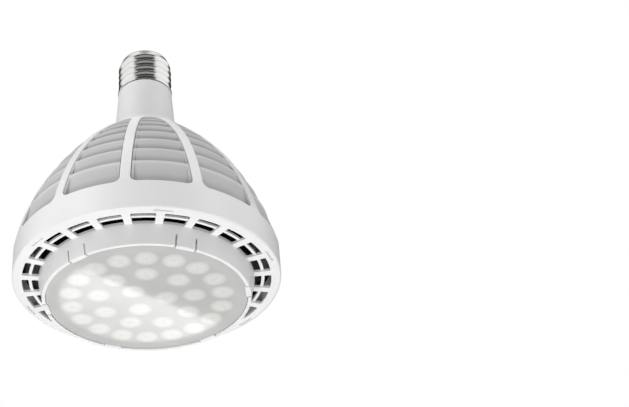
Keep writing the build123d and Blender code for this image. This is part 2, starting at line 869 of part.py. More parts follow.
with BuildPart() as fan_shaft:
    with BuildSketch(Plane.XY.offset(bearing_low_z + running_gap)):
        Circle(fan_shaft_d / 2)
    extrude(amount=cup_roof_z - bearing_low_z - running_gap)
    chamfer(fan_shaft.edges().group_by(Axis.Z)[0], fan_shaft_d / 8)

fan_shaft.part.label = "fan_shaft"
export_step(fan_shaft.part, "parts/fan_shaft.step")

with BuildPart() as fan_magnet:
    with BuildSketch(Plane.XY.offset(rotor_low_z + running_gap)):
        Circle(magnet_outer_r)
        Circle(magnet_inner_r, mode=Mode.SUBTRACT)
    extrude(amount=bearing_top_z - rotor_low_z)

fan_magnet.part.label = "fan_magnet"
export_step(fan_magnet.part, "parts/fan_magnet.step")

fan_screw = slotted_screw(
    fin_top_z + fan_lug_thickness, fin_top_z - fan_screw_grip + running_gap,
    fan_screw_d, fan_screw_head, fan_screw_head_height,
)
with BuildPart() as fan_screws:
    with PolarLocations(fan_screw_ring_r, 4, fan_post_start):
        add(fan_screw)

fan_screws.part.label = "fan_screws"
export_step(fan_screws.part, "parts/fan_screws.step")


# Neck: tapered tube with the driver bell below it and the cap's spigot above it
bell_mouth_z = bell_floor_z + driver_cover_thickness
bell_top_z = dome_height(liner_back_depth + bell_dome_gap, bell_radius)
flange_low_z = collar_seat_z - flange_thickness
shell_minor_r = thread_crest_radius - thread_depth - shell_wall
spigot_r = shell_minor_r - fit_gap
contact_z = overall_height - contact_height
insulator_low_z = contact_z - insulator_height
shell_mouth_z = insulator_low_z + insulator_land
shoulder_z = shell_mouth_z - shell_shoulder_height
spigot_top_z = shoulder_z - part_gap


with BuildPart() as neck_housing:
    with BuildSketch(Plane.XZ):
        with BuildLine():
            Polyline(
                (bell_radius, bell_mouth_z),
                (bell_radius, bell_top_z),
                (flange_r, flange_low_z),
                (flange_r, collar_seat_z),
                (neck_foot_radius, collar_seat_z),
                (neck_foot_radius, top_collar_z),
                (neck_top_radius, neck_top_z),
                (spigot_r, neck_top_z),
                (spigot_r, spigot_top_z),
                (spigot_r - spigot_wall, spigot_top_z),
                (spigot_r - spigot_wall, neck_top_z - neck_wall),
                (neck_top_radius - neck_wall, neck_top_z - 2 * neck_wall),
                (neck_foot_radius - neck_wall, collar_seat_z),
                (bell_radius - bell_wall, bell_top_z - bell_wall / 2),
                (bell_radius - bell_wall, bell_mouth_z),
                close=True,
            )
        make_face()
    revolve(axis=Axis.Z)
    rings = neck_housing.edges().filter_by(GeomType.CIRCLE)
    top_rings = rings.filter_by(lambda e: abs(e.center().Z - neck_top_z) < 0.01)
    fillet(top_rings.sort_by(SortBy.RADIUS)[-1], neck_top_round)

neck_housing.part.label = "neck_housing"
export_step(neck_housing.part, "parts/neck_housing.step")

bell_inner_r = bell_radius - bell_wall
led_exit_r = bell_inner_r - driver_cover_wall - part_gap - led_lead_hole_r
with BuildPart() as driver_cover:
    with BuildSketch(Plane.XY.offset(bell_floor_z)):
        Circle(bell_radius)
    extrude(amount=driver_cover_thickness)
    with BuildSketch(Plane.XY.offset(bell_mouth_z)):
        Circle(bell_inner_r - fit_gap)
        Circle(bell_inner_r - fit_gap - driver_cover_wall, mode=Mode.SUBTRACT)
    extrude(amount=driver_cover_spigot)
    with BuildSketch(Plane.XY.offset(bell_floor_z)):
        with Locations(plan_point(led_exit_r, FRONT + led_lead_angle), (0, fan_lead_radius)):
            Circle(led_lead_hole_r)
    extrude(amount=driver_cover_thickness, mode=Mode.SUBTRACT)

driver_cover.part.label = "driver_cover"
export_step(driver_cover.part, "parts/driver_cover.step")


# Cap: rolled screw shell, insulating cone and centre contact
thread_mid_r = thread_crest_radius - thread_depth / 2
thread_low_z = neck_top_z + shell_rim_height + thread_start

with BuildPart() as screw_shell:
    with BuildSketch(Plane.XZ):
        with BuildLine():
            rim_r = thread_crest_radius + shell_rim_flare
            Polyline(
                (shell_minor_r, neck_top_z),
                (rim_r, neck_top_z),
                (rim_r, neck_top_z + shell_rim_height),
                (thread_mid_r, thread_low_z),
            )
            for turn in range(thread_turns):
                low = thread_low_z + turn * thread_pitch
                half_turn = low + thread_pitch / 2
                crest = (thread_crest_radius, low + thread_pitch / 4)
                root = (thread_crest_radius - thread_depth, low + 3 * thread_pitch / 4)
                ThreePointArc((thread_mid_r, low), crest, (thread_mid_r, half_turn))
                ThreePointArc((thread_mid_r, half_turn), root, (thread_mid_r, low + thread_pitch))
            thread_end_z = thread_low_z + thread_turns * thread_pitch
            Polyline(
                (thread_mid_r, thread_end_z),
                (shell_minor_r + shell_wall, shoulder_z),
                (shell_mouth_radius, shell_mouth_z),
                (shell_mouth_radius - shell_wall, shell_mouth_z),
                (shell_minor_r, shoulder_z - shell_wall),
                (shell_minor_r, neck_top_z),
            )
        make_face()
    revolve(axis=Axis.Z)

screw_shell.part.label = "screw_shell"
export_step(screw_shell.part, "parts/screw_shell.step")

insulator_foot_r = shell_mouth_radius - shell_wall - shaft_gap
with BuildPart() as cap_insulator:
    with BuildSketch(Plane.XZ):
        with BuildLine():
            Polyline(
                (contact_stem_radius + shaft_gap, insulator_low_z - insulator_land),
                (insulator_foot_r, insulator_low_z - insulator_land),
                (insulator_foot_r, shell_mouth_z + insulator_land),
                (contact_radius + insulator_land, contact_z),
                (contact_stem_radius + shaft_gap, contact_z),
                close=True,
            )
        make_face()
    revolve(axis=Axis.Z)

cap_insulator.part.label = "cap_insulator"
export_step(cap_insulator.part, "parts/cap_insulator.step")

with BuildPart() as centre_contact:
    with BuildSketch(Plane.XZ):
        with BuildLine():
            Polyline(
                (0, overall_height),
                (0, contact_z - contact_stem_length),
                (contact_stem_radius, contact_z - contact_stem_length),
                (contact_stem_radius, contact_z),
                (contact_radius, contact_z),
                (contact_radius, contact_z + contact_height / 3),
            )
            contact_flat = (contact_radius / 3, overall_height)
            ThreePointArc(
                (contact_radius, contact_z + contact_height / 3),
                (contact_radius * 0.8, overall_height - contact_height / 4),
                contact_flat,
            )
            Line(contact_flat, (0, overall_height))
        make_face()
    revolve(axis=Axis.Z)

centre_contact.part.label = "centre_contact"
export_step(centre_contact.part, "parts/centre_contact.step")


# Driver board: upright in the bell, its narrow end in the neck
board_half_low = bell_inner_r - fit_gap - driver_cover_wall - driver_board_gap
board_half_bell = bell_inner_r - driver_board_gap
board_half_neck = neck_top_radius - neck_wall - 2 * driver_board_gap
board_top_z = neck_top_z - driver_board_top_gap
spigot_land_z = bell_mouth_z + driver_cover_spigot + driver_board_gap
bell_board_z = bell_top_z - bell_wall
neck_board_z = collar_seat_z - flange_thickness
board_face = driver_board_thickness / 2

with BuildPart() as driver_board:
    with BuildSketch(Plane.XZ.offset(-board_face)):
        with BuildLine():
            Polyline(
                (board_half_low, bell_mouth_z),
                (board_half_low, spigot_land_z),
                (board_half_bell, spigot_land_z),
                (board_half_bell, bell_board_z),
                (board_half_neck, neck_board_z),
                (board_half_neck, board_top_z),
                (0, board_top_z),
            )
            mirror(about=Plane.YZ)
            Line((board_half_low, bell_mouth_z), (-board_half_low, bell_mouth_z))
        make_face()
    extrude(amount=driver_board_thickness)

driver_board.part.label = "driver_board"
export_step(driver_board.part, "parts/driver_board.step")


def upright_can(diameter, length):
    """Rolled-rim can capacitor that stands along Z from z = 0, with its sleeve groove."""
    with BuildPart() as can:
        with BuildSketch():
            Circle(diameter / 2)
        extrude(amount=length)
        fillet(can.edges().filter_by(GeomType.CIRCLE), can_groove)
        with BuildSketch(Plane.XY.offset(2 * can_groove)):
            Circle(diameter / 2)
            Circle(diameter / 2 - can_groove, mode=Mode.SUBTRACT)
        extrude(amount=can_groove, mode=Mode.SUBTRACT)
    return can.part


# Transformer on the front face of the driver board: core, bobbin and winding
core_width, core_depth, core_height = transformer_core
bobbin_width, bobbin_depth, bobbin_height = transformer_bobbin
transformer_z = bell_mouth_z + transformer_lift
transformer_mid_z = transformer_z + core_height / 2
front_face_y = -board_face - solder_gap

with BuildPart() as transformer:
    with BuildSketch(Plane.XZ.offset(-front_face_y)):
        with Locations((0, transformer_mid_z)):
            Rectangle(core_width, core_height)
            Rectangle(core_width - core_height / 3, core_height / 2, mode=Mode.SUBTRACT)
            Rectangle(core_width / 3, core_height)
    extrude(amount=core_depth)
    with BuildSketch(Plane.XZ.offset(-front_face_y)):
        with Locations((0, transformer_mid_z)):
            Rectangle(bobbin_width, bobbin_height)
    extrude(amount=bobbin_depth)
    fillet(transformer.edges().filter_by(Axis.Y).group_by(Axis.Z)[0], solder_gap * 3)

transformer.part.label = "transformer"
export_step(transformer.part, "parts/transformer.step")

# Capacitors on the back face
with BuildPart() as output_capacitor:
    with Locations((output_can_x, board_face + solder_gap + output_can_d / 2, transformer_z)):
        add(upright_can(output_can_d, output_can_length))

output_capacitor.part.label = "output_capacitor"
export_step(output_capacitor.part, "parts/output_capacitor.step")

with BuildPart() as input_capacitor:
    with Locations((0, board_face + solder_gap + input_can_d / 2, neck_board_z)):
        add(upright_can(input_can_d, input_can_length))

input_capacitor.part.label = "input_capacitor"
export_step(input_capacitor.part, "parts/input_capacitor.step")

# Toroidal choke, rectifier bridge and switching transistor
choke_z = neck_board_z + part_spacing + choke_outer_d / 2
with BuildPart() as line_choke:
    with BuildSketch(Plane.XZ.offset(-front_face_y)):
        with Locations((0, choke_z)):
            Circle(choke_outer_d / 2)
            Circle(choke_inner_d / 2, mode=Mode.SUBTRACT)
    extrude(amount=choke_thickness)
    fillet(line_choke.edges().group_by(Axis.Y)[0], choke_thickness / 4)

line_choke.part.label = "line_choke"
export_step(line_choke.part, "parts/line_choke.step")

bridge_width, bridge_depth, bridge_height = bridge_size
bridge_z = choke_z + choke_outer_d / 2 + part_spacing / 2
with BuildPart() as bridge_rectifier:
    with BuildSketch(Plane.XZ.offset(-front_face_y)):
        with Locations((0, bridge_z + bridge_height / 2)):
            Rectangle(bridge_width, bridge_height)
    extrude(amount=bridge_depth)
    chamfer(bridge_rectifier.edges().group_by(Axis.Y)[0], bridge_depth / 8)

bridge_rectifier.part.label = "bridge_rectifier"
export_step(bridge_rectifier.part, "parts/bridge_rectifier.step")

transistor_width, transistor_depth, transistor_height = transistor_size
back_face_y = board_face + solder_gap
transistor_x = -transistor_width / 2 - part_spacing
transistor_mid_z = transformer_z + transistor_height / 2
with BuildPart() as switching_transistor:
    with BuildSketch(Plane.XZ.offset(-back_face_y)):
        with Locations((transistor_x, transistor_mid_z)):
            Rectangle(transistor_width, transistor_height)
    extrude(amount=-transistor_depth)
    with BuildSketch(Plane.XZ.offset(-back_face_y)):
        with Locations((transistor_x, transistor_mid_z + transistor_height / 2 + transistor_tab / 2)):
            Rectangle(transistor_width, transistor_tab)
            Circle(transistor_tab / 4, mode=Mode.SUBTRACT)
    extrude(amount=-transistor_depth / 3)

switching_transistor.part.label = "switching_transistor"
export_step(switching_transistor.part, "parts/switching_transistor.step")


# Leads: straight runs with rounded bends
def round_lead(points):
    """Solid of one insulated lead that follows the points."""
    with BuildPart() as lead:
        with BuildLine():
            FilletPolyline(*points, radius=lead_bend)
        start = Vector(*points[0])
        ahead = Vector(*points[1]) - start
        with BuildSketch(Plane(origin=start, z_dir=ahead)):
            Circle(lead_radius)
        sweep()
    return lead.part


solder_z = board_top_z - part_spacing
lead_y = back_face_y + lead_radius
stem_z = contact_z - contact_stem_length
spigot_inner_r = spigot_r - spigot_wall
neutral_r = spigot_inner_r - lead_radius - fit_gap
shell_touch_z = shoulder_z + shell_shoulder_height / 4

with BuildPart() as live_lead:
    add(round_lead([
        (part_spacing, lead_y, solder_z),
        (part_spacing, lead_y, neck_top_z),
        (0, 0, shoulder_z - shell_shoulder_height),
        (0, 0, stem_z),
    ]))

live_lead.part.label = "live_lead"
export_step(live_lead.part, "parts/live_lead.step")

with BuildPart() as neutral_lead:
    add(round_lead([
        (-part_spacing, lead_y, solder_z),
        (-part_spacing, lead_y, neck_top_z),
        (-neutral_r, 0, spigot_top_z - shell_shoulder_height),
        (-neutral_r, 0, shell_touch_z),
    ]))

neutral_lead.part.label = "neutral_lead"
export_step(neutral_lead.part, "parts/neutral_lead.step")

lead_deck_z = fan_top_z + bell_fan_gap / 2
lead_solder_z = bell_mouth_z + transformer_lift / 2
lead_start_r = (back_face_y + solder_gap) / math.cos(math.radians(led_lead_angle))
lead_side = plan_point(1, FRONT + led_lead_angle + 90)


def led_lead_point(radius, z, side):
    """Point of an LED lead: distance from the axis, height and side step."""
    x, y = plan_point(radius, FRONT + led_lead_angle)
    return (x + side * lead_side[0], y + side * lead_side[1], z)


with BuildPart() as led_leads:
    for side in (-lead_spacing / 2, lead_spacing / 2):
        add(round_lead([
            led_lead_point(lead_start_r, lead_solder_z, side),
            led_lead_point(led_exit_r, lead_solder_z, side),
            led_lead_point(led_exit_r, lead_deck_z, side),
            led_lead_point(led_lead_r, lead_deck_z, side),
            led_lead_point(led_lead_r, vent_top_z, side),
        ]))

led_leads.part.label = "led_leads"
export_step(led_leads.part, "parts/led_leads.step")

fan_rim_r = fan_outer_d / 2 - fan_wall / 2
with BuildPart() as fan_leads:
    for side in (-lead_spacing / 2, lead_spacing / 2):
        add(round_lead([
            (side, back_face_y, lead_solder_z),
            (side, fan_lead_radius, lead_solder_z),
            (side, fan_lead_radius, lead_deck_z),
            (side, fan_rim_r, lead_deck_z),
            (side, fan_rim_r, fan_top_z),
        ]))

fan_leads.part.label = "fan_leads"
export_step(fan_leads.part, "parts/fan_leads.step")
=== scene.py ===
# %% [markdown]
# A spotlight bulb with light-emitting diodes, standing on its lens collar with the screw
# cap at the top. The solid model gives every piece at its real size, and this script
# gives the lamp its finish: moulded white plastic, a frosted lens, a nickel screw shell.
# The model is loaded first, and nothing in it is moved.

# %% Load the solid model
import math

import bmesh
import bpy
from mathutils import Matrix, Vector


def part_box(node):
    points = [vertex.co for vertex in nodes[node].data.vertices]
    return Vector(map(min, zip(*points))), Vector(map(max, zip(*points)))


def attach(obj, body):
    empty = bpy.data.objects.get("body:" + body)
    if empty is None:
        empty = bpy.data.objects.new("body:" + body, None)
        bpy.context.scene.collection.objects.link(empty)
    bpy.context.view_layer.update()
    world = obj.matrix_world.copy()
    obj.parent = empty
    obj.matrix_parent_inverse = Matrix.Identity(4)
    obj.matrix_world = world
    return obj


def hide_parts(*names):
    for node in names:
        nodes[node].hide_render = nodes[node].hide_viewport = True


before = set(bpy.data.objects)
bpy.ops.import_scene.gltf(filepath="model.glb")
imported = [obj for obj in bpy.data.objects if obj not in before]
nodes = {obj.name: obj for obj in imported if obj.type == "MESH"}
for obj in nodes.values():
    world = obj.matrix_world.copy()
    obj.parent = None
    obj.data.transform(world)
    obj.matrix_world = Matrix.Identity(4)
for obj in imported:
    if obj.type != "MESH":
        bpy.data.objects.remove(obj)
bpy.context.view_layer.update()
MM = 0.001

# %% [markdown]
# The lamp is seen from below, as it hangs under a ceiling. The camera could be placed by
# hand, but the ellipses of the lens and of the rim fix it closely: it stands 585 mm from
# a point 60 mm up the lamp's axis and looks up at 35.6 degrees. The lamp sits left of the
# middle of the frame, so the lens is shifted sideways and the camera isn't turned, which
# would change the perspective.

# %% Camera
FRAME_WIDTH, FRAME_HEIGHT = 629, 407
VIEW_TARGET = Vector((0, 0, 60 * MM))
VIEW_DISTANCE = 585.25 * MM
VIEW_RISE = math.radians(35.59)
VIEW_ROLL = math.radians(-0.45)
FOCAL_PIXELS = 1244.5
AXIS_X, AXIS_Y = 145.8, 190.6
SENSOR_WIDTH = 36.0
CLIP_NEAR, CLIP_FAR = 0.02, 20.0

camera_data = bpy.data.cameras.new("camera")
camera_data.sensor_width = SENSOR_WIDTH
camera_data.lens = FOCAL_PIXELS / FRAME_WIDTH * SENSOR_WIDTH
camera_data.shift_x = (FRAME_WIDTH / 2 - AXIS_X) / FRAME_WIDTH
camera_data.shift_y = -(FRAME_HEIGHT / 2 - AXIS_Y) / FRAME_WIDTH
camera_data.clip_start, camera_data.clip_end = CLIP_NEAR, CLIP_FAR
camera = bpy.data.objects.new("camera", camera_data)
bpy.context.scene.collection.objects.link(camera)
view_line = Vector((0, math.cos(VIEW_RISE), math.sin(VIEW_RISE)))
camera.location = VIEW_TARGET - view_line * VIEW_DISTANCE
look = view_line.to_track_quat("-Z", "Y").to_matrix().to_4x4()
camera.rotation_euler = (look @ Matrix.Rotation(VIEW_ROLL, 4, "Z")).to_euler()
bpy.context.scene.camera = camera
print("lens:", round(camera_data.lens, 2), "mm, camera at", [round(v, 3) for v in camera.location])

# %% [markdown]
# The surroundings, the floor and every finish are trees of nodes. A tree can be wired one
# node at a time, but the same few nodes come back in all of them, most of all sums and
# changes of range. So those get small helpers that take sockets or plain numbers and give
# back a socket, and a tree then reads like a formula.


# %% Helpers for node trees
def feed(tree, socket, value):
    """Links the value to the socket if it is a socket too, and otherwise sets it."""
    if isinstance(value, bpy.types.NodeSocket):
        tree.links.new(value, socket)
    else:
        socket.default_value = value


def new_node(tree, kind, **settings):
    """A shader node of a kind; settings are properties of the node itself."""
    node = tree.nodes.new("ShaderNode" + kind)
    for setting, value in settings.items():
        setattr(node, setting, value)
    return node


def calculate(tree, operation, *values):
    """The socket of a Math node's result."""
    node = new_node(tree, "Math", operation=operation)
    for socket, value in zip(node.inputs, values):
        feed(tree, socket, value)
    return node.outputs["Value"]


def ranged(tree, value, start, end, low=0.0, high=1.0, interpolation="LINEAR"):
    """The socket of a value that goes from low at start to high at end, and stays there."""
    node = new_node(tree, "MapRange", interpolation_type=interpolation)
    limits = {"Value": value, "From Min": start, "From Max": end, "To Min": low, "To Max": high}
    for name, limit in limits.items():
        feed(tree, node.inputs[name], limit)
    return node.outputs["Result"]


print("helpers:", ", ".join(helper.__name__ for helper in (feed, new_node, calculate, ranged)))

# %% [markdown]
# A product shot on white needs different surroundings for different rays. The eye sees
# plain white. Matt surfaces are lit by an even grey, because white on all sides would
# leave white plastic with no shading. Glossy surfaces reflect the studio's layout: two
# white side walls, with a dark gap in front and another behind. A polished cap shows them
# as bright flanks, a dark streak down the middle and dark outlines. The walls could be
# built as large lit sheets, but drawn here from the direction of the ray they light
# nothing else.

# %% Studio walls, as gloss reflects them
WALL_WHITE = 1.1
GAP_GREY = 0.05
WALL_AZIMUTHS = (math.radians(-77), math.radians(82))
WALL_EDGE, WALL_FULL = math.cos(math.radians(41)), math.cos(math.radians(30))
CEILING_EDGE, CEILING_FULL, CEILING_WHITE = 0.72, 0.95, 0.4
GROUND_EDGE, GROUND_FULL, GROUND_WHITE = -0.15, -0.7, 0.4

scene = bpy.context.scene
scene.view_settings.view_transform = "Standard"
world = bpy.data.worlds.new("white_studio")
world.use_nodes = True
scene.world = world
tree = world.node_tree
tree.nodes.clear()

direction = new_node(tree, "TexCoord").outputs["Generated"]
split = new_node(tree, "SeparateXYZ")
flat = new_node(tree, "VectorMath", operation="MULTIPLY")
flat.inputs[1].default_value = (1.0, 1.0, 0.0)
level = new_node(tree, "VectorMath", operation="NORMALIZE")
tree.links.new(direction, split.inputs["Vector"])
tree.links.new(direction, flat.inputs[0])
tree.links.new(flat.outputs["Vector"], level.inputs[0])
ceiling = ranged(tree, split.outputs["Z"], CEILING_EDGE, CEILING_FULL,
                 high=CEILING_WHITE, interpolation="SMOOTHSTEP")
ground = ranged(tree, split.outputs["Z"], GROUND_EDGE, GROUND_FULL,
                high=GROUND_WHITE, interpolation="SMOOTHSTEP")
studio = calculate(tree, "MAXIMUM", ceiling, ground)
for azimuth in WALL_AZIMUTHS:
    facing = new_node(tree, "VectorMath", operation="DOT_PRODUCT")
    facing.inputs[1].default_value = (math.sin(azimuth), -math.cos(azimuth), 0.0)
    tree.links.new(level.outputs["Vector"], facing.inputs[0])
    wall = ranged(tree, facing.outputs["Value"], WALL_EDGE, WALL_FULL,
                  high=WALL_WHITE, interpolation="SMOOTHSTEP")
    studio = calculate(tree, "MAXIMUM", studio, wall)
studio = calculate(tree, "ADD", studio, GAP_GREY)
print("studio walls:", WALL_WHITE, "gaps:", GAP_GREY)

# %% [markdown]
# The surroundings for the eye, for gloss and for matt surfaces are three backgrounds. One
# world can hold only one surface, so two Mix Shader nodes choose between them, and the
# kind of ray is what they choose by.

# %% Surroundings for each kind of ray
SURROUND_GREY = 0.345


def grey(value):
    """A grey as red, green and blue."""
    return (value, value, value)


def backdrop(tree, shade, strength=1.0):
    """The shader socket of a plain background in one grey."""
    node = new_node(tree, "Background")
    feed(tree, node.inputs["Color"], (*grey(shade), 1.0))
    feed(tree, node.inputs["Strength"], strength)
    return node.outputs["Background"]


def chosen(tree, mask, off, on):
    """The shader socket of off where the mask is 0 and of on where it is 1."""
    node = new_node(tree, "MixShader")
    for socket, value in zip(node.inputs, (mask, off, on)):
        tree.links.new(value, socket)
    return node.outputs["Shader"]


ray = new_node(tree, "LightPath").outputs
for_matt, for_gloss = backdrop(tree, SURROUND_GREY), backdrop(tree, 1.0, studio)
for_light = chosen(tree, ray["Is Glossy Ray"], for_matt, for_gloss)
for_eye = chosen(tree, ray["Is Camera Ray"], for_light, backdrop(tree, 1.0))
tree.links.new(for_eye, new_node(tree, "OutputWorld").inputs["Surface"])
print("surroundings: white to the eye,", SURROUND_GREY, "to matt surfaces")

# %% [markdown]
# The rest of the light comes from softboxes, placed for the tones of each face. A single
# sun would be simpler, but it casts hard shadows. The strong one below makes the rim the
# brightest face, and a weak one hangs above. Two hang high at the sides for the ribs, and
# two stand beside the lamp. The left ones are stronger, so the band darkens towards the
# right. Nothing stands in front, which keeps the upright faces greyer than the sloping
# ones.


# %% Softboxes
def softbox(name, place, width, height, power):
    """An area light turned towards the lamp, hidden from the camera and from gloss."""
    light = bpy.data.lights.new(name, "AREA")
    light.shape = "RECTANGLE"
    light.size, light.size_y = width, height
    light.energy = power
    box = bpy.data.objects.new(name, light)
    scene.collection.objects.link(box)
    box.location = place
    box.rotation_euler = (LAMP_MIDDLE - Vector(place)).to_track_quat("-Z", "Y").to_euler()
    box.visible_camera = False
    box.visible_glossy = False
    print(name, "at", place, power, "W")
    return box


LAMP_MIDDLE = Vector((0, 0, 0.07))
# each row: name, place, width, height, power in watts
SOFTBOXES = (
    ("softbox_top", (-0.1, -0.15, 1.1), 1.0, 1.0, 2.3),
    ("softbox_below", (-0.1, -0.3, -0.9), 1.0, 0.9, 8.9),
    ("softbox_left", (-1.1, 0.0, 0.3), 0.7, 1.1, 2.7),
    ("softbox_right", (1.1, 0.0, 0.3), 0.7, 1.1, 2.1),
    ("softbox_high_left", (-0.7, -0.5, 0.8), 0.7, 0.7, 6.0),
    ("softbox_high_right", (0.7, -0.5, 0.8), 0.7, 0.7, 3.7),
)
for row in SOFTBOXES:
    softbox(*row)

# %% [markdown]
# The lens shows a broad reflection with a slanting edge. In the mirror of the flat lens
# the camera looks at a place low behind the lamp, so a white card lies there, turned by
# the slant. It could be a white sheet, but a lens reflects less than a tenth of what falls
# on it, so the card is an area light, some way above white. The reflection fades away from
# its slanting edge, so the card gets a gradient across its width: a light's own nodes can
# read the place on it from the Parametric output.

# %% Card reflected in the lens
CARD_PLACE = (0.018, 0.552, -0.282)
CARD_TURN = math.radians(38.9)
CARD_LENGTH, CARD_WIDTH, CARD_POWER = 0.335, 0.105, 0.3
CARD_FAR, CARD_NEAR = 0.3, 1.4

card = softbox("lens_card", CARD_PLACE, CARD_LENGTH, CARD_WIDTH, CARD_POWER)
card.rotation_euler = (math.pi, 0.0, CARD_TURN)
card.visible_glossy = True
card.data.use_nodes = True
tree = card.data.node_tree
on_card = new_node(tree, "SeparateXYZ")
tree.links.new(new_node(tree, "NewGeometry").outputs["Parametric"], on_card.inputs["Vector"])
strength = ranged(tree, on_card.outputs["Y"], 0.0, 1.0, CARD_FAR, CARD_NEAR)
tree.links.new(strength, tree.nodes["Emission"].inputs["Strength"])
print("card:", CARD_LENGTH, "x", CARD_WIDTH, "m, strength", CARD_FAR, "to", CARD_NEAR)

# %% [markdown]
# The floor is a pale sheet at the lamp's foot. It could be left out, as the camera looks
# up from under it, but from above the lamp would hang in the air. It is one flat square
# that takes no part in the lighting, or it would shade the lens.

# %% Floor
FLOOR_SIZE = 6.0

sheet = bmesh.new()
bmesh.ops.create_grid(sheet, x_segments=1, y_segments=1, size=FLOOR_SIZE / 2)
floor_mesh = bpy.data.meshes.new("floor")
sheet.to_mesh(floor_mesh)
sheet.free()
floor = bpy.data.objects.new("floor", floor_mesh)
scene.collection.objects.link(floor)
floor.visible_diffuse = False
floor.visible_glossy = False
floor.visible_transmission = False
floor.visible_shadow = False
print("floor:", FLOOR_SIZE, "m square at z = 0")

# %% [markdown]
# The sheet has to show from above and not from below. It could be hidden from the camera
# altogether, but then no side would show it, so its finish is one-sided instead: the
# Backfacing output turns it transparent from below. Far from the lamp it fades into the
# white as well, so only a soft edge is left of the horizon.

# %% Floor finish
FLOOR_GREY, FLOOR_ROUGHNESS = 0.78, 0.8
FADE_START, FADE_END = 0.3, 1.6

pale_floor = bpy.data.materials.new("pale_floor")
pale_floor.use_nodes = True
tree = pale_floor.node_tree
paint = tree.nodes["Principled BSDF"]
paint.inputs["Base Color"].default_value = (*grey(FLOOR_GREY), 1.0)
paint.inputs["Roughness"].default_value = FLOOR_ROUGHNESS
away = new_node(tree, "VectorMath", operation="LENGTH")
tree.links.new(new_node(tree, "TexCoord").outputs["Object"], away.inputs[0])
faded = ranged(tree, away.outputs["Value"], FADE_START, FADE_END, interpolation="SMOOTHSTEP")
backfacing = new_node(tree, "NewGeometry").outputs["Backfacing"]
clear = calculate(tree, "MAXIMUM", backfacing, faded)
nothing = new_node(tree, "BsdfTransparent").outputs["BSDF"]
seen = chosen(tree, clear, paint.outputs["BSDF"], nothing)
tree.links.new(seen, tree.nodes["Material Output"].inputs["Surface"])
floor_mesh.materials.append(pale_floor)
print("floor fades from", FADE_START, "to", FADE_END, "m")

# %% [markdown]
# Every finish shares one effect: the fine grain that a spark-finished mould leaves on
# plastic, and a faint cloudiness where the melt cooled unevenly. On the metals it passes
# for the slight unevenness of rolled and cast surfaces. Each material could have its own
# noise, but one node group keeps them alike. The group reads Object coordinates in metres
# and puts out a height and a cloudiness.


# %% Node group: mould grain
def new_group(name, numbers, outputs):
    """A shader node group with a Vector input, number inputs and number outputs."""
    group = bpy.data.node_groups.new(name, "ShaderNodeTree")
    group.interface.new_socket("Vector", in_out="INPUT", socket_type="NodeSocketVector")
    for label, value in numbers.items():
        number = group.interface.new_socket(label, in_out="INPUT", socket_type="NodeSocketFloat")
        number.default_value = value
    for label in outputs:
        group.interface.new_socket(label, in_out="OUTPUT", socket_type="NodeSocketFloat")
    return group, group.nodes.new("NodeGroupInput").outputs, group.nodes.new("NodeGroupOutput").inputs


GRAIN_SCALE, GRAIN_DETAIL = 4000.0, 3.0
CLOUD_SCALE, CLOUD_DETAIL = 60.0, 2.0
CLOUD_LOW, CLOUD_HIGH = 0.35, 0.65

grain_group, grain_in, grain_out = new_group(
    "mould_grain", {"Grain Scale": GRAIN_SCALE, "Cloud Scale": CLOUD_SCALE}, ["Height", "Cloud"]
)


def noise(scale, detail):
    """The socket of a noise in the grain group."""
    node = new_node(grain_group, "TexNoise")
    for name, value in {"Vector": grain_in["Vector"], "Scale": scale, "Detail": detail}.items():
        feed(grain_group, node.inputs[name], value)
    return node.outputs["Fac"]


clouds = noise(grain_in["Cloud Scale"], CLOUD_DETAIL)
grain_group.links.new(noise(grain_in["Grain Scale"], GRAIN_DETAIL), grain_out["Height"])
grain_group.links.new(ranged(grain_group, clouds, CLOUD_LOW, CLOUD_HIGH), grain_out["Cloud"])
print("group:", grain_group.name)

# %% [markdown]
# A finish is then two near colours and two near roughnesses, which the cloudiness mixes,
# with the grain as a bump a fiftieth of a millimetre deep. One flat colour would be
# quicker, but it looks like paint on a screen. The finish goes on a solid piece through
# the piece's material slots, and its mesh stays as it is.

# %% Finishes with mould grain
GRAIN_DEPTH = 0.02


def grained(name, light, dark, gloss, dull, **constants):
    """A material between two colours and two roughnesses, mixed by the cloudiness."""
    material = bpy.data.materials.new(name)
    material.use_nodes = True
    tree = material.node_tree
    shader = tree.nodes["Principled BSDF"].inputs
    for label, value in constants.items():
        shader[label.replace("_", " ")].default_value = value
    grain = new_node(tree, "Group", node_tree=grain_group)
    tree.links.new(new_node(tree, "TexCoord").outputs["Object"], grain.inputs["Vector"])
    tint = new_node(tree, "Mix", data_type="RGBA")
    colours = {"Factor": grain.outputs["Cloud"], "A": (*light, 1.0), "B": (*dark, 1.0)}
    for label, value in colours.items():
        feed(tree, tint.inputs[label], value)
    bump = new_node(tree, "Bump")
    bump.inputs["Distance"].default_value = GRAIN_DEPTH * MM
    tree.links.new(grain.outputs["Height"], bump.inputs["Height"])
    tree.links.new(tint.outputs["Result"], shader["Base Color"])
    tree.links.new(ranged(tree, grain.outputs["Cloud"], 0.0, 1.0, gloss, dull), shader["Roughness"])
    tree.links.new(bump.outputs["Normal"], shader["Normal"])
    return material


def dress(material, *names):
    """Gives the material to solid pieces."""
    for name in names:
        for held in nodes[name].material_slots:
            held.material = material
    print(material.name, "on", ", ".join(names))
